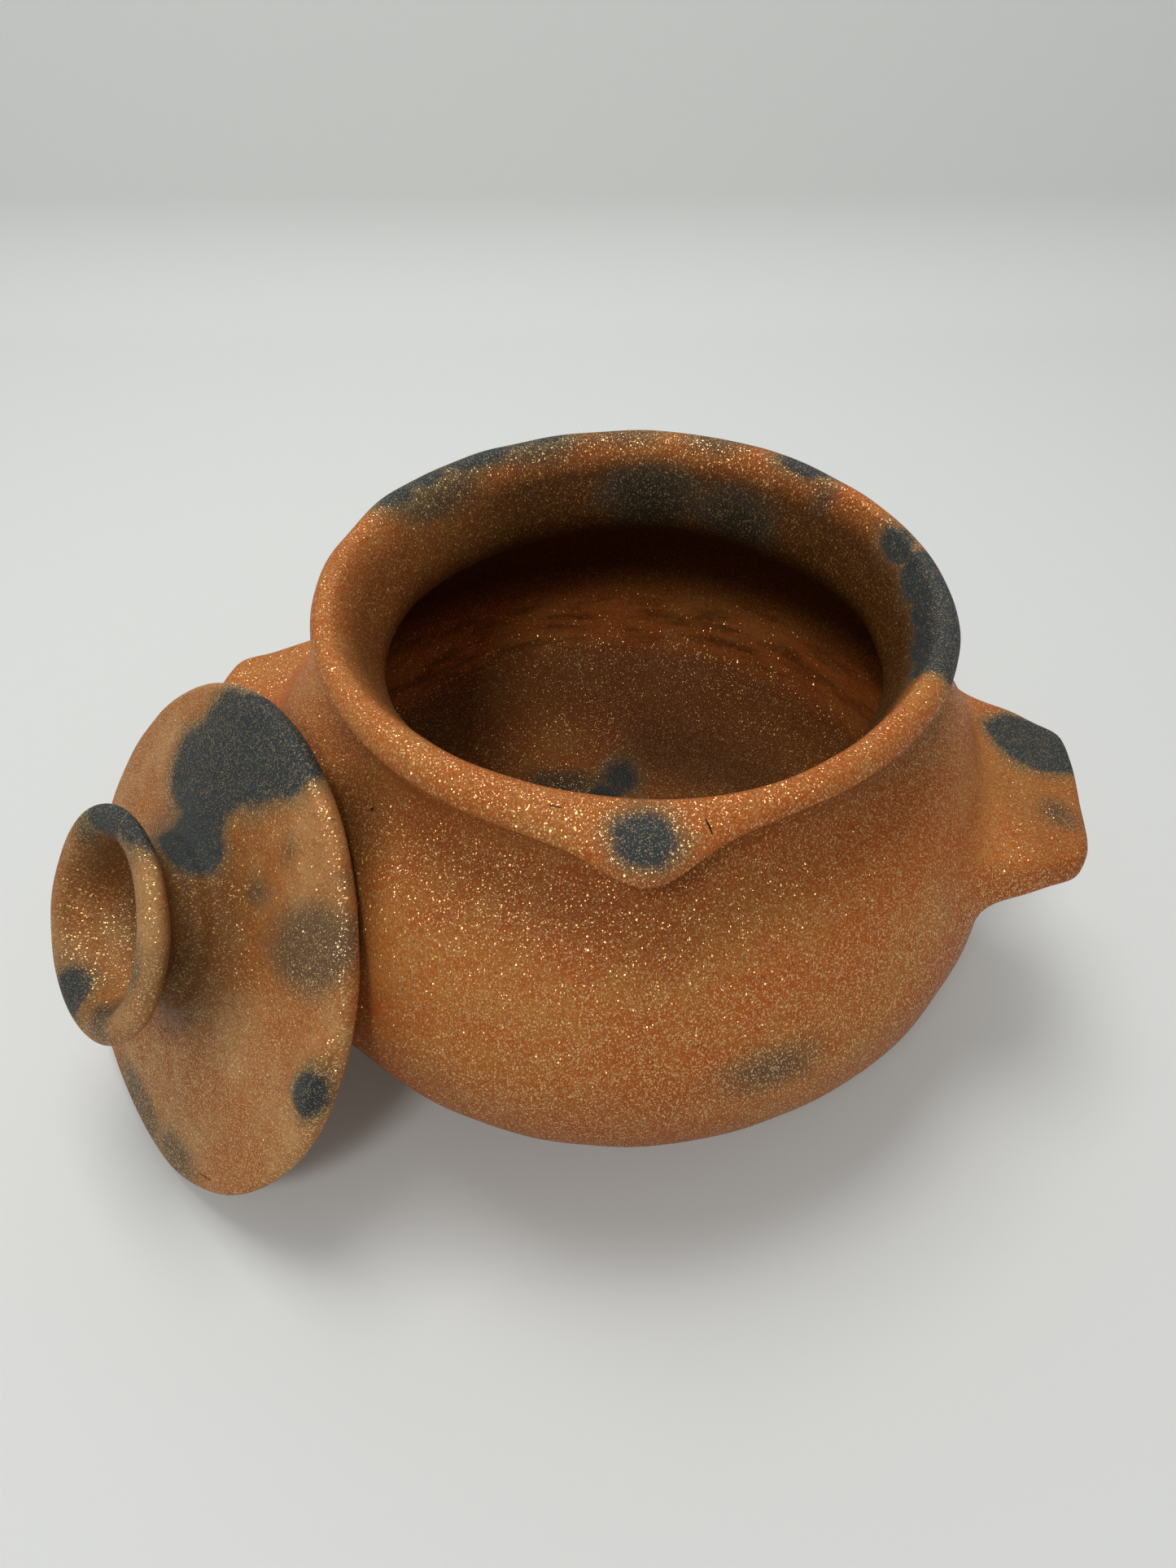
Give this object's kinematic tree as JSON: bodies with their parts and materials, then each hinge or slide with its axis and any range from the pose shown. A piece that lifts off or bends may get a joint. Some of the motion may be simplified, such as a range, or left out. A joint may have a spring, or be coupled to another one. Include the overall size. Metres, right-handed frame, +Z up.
{
  "type": "bean pot",
  "caption": "Round-bellied unglazed clay bean pot with a pouring lip and two lug handles, its loose domed lid with a hollow knob leaning against its side.",
  "frame": {"origin": "middle of the pot's foot, on the surface it stands on", "axes": "+Z up, -Y towards the pouring lip, +X towards the right lug; the lid leans on the -X side"},
  "size_m": [0.2698, 0.2, 0.1295],
  "materials": {
    "micaceous_clay": "unglazed orange terracotta full of golden mica flakes, with blue-black fire clouds"
  },
  "bodies": {
    "pot": {"pot_body": "micaceous_clay", "pouring_lip": "micaceous_clay", "right_lug": "micaceous_clay", "left_lug": "micaceous_clay"},
    "lid": {"lid_cover": "micaceous_clay", "lid_knob": "micaceous_clay", "lid_tab": "micaceous_clay"}
  },
  "joints": [
    {"name": "lid_lift", "type": "slide", "parent": "pot", "child": "lid", "axis": [-0.6982, -0.4925, 0.5195], "range_m": [0, 0.15]}
  ]
}
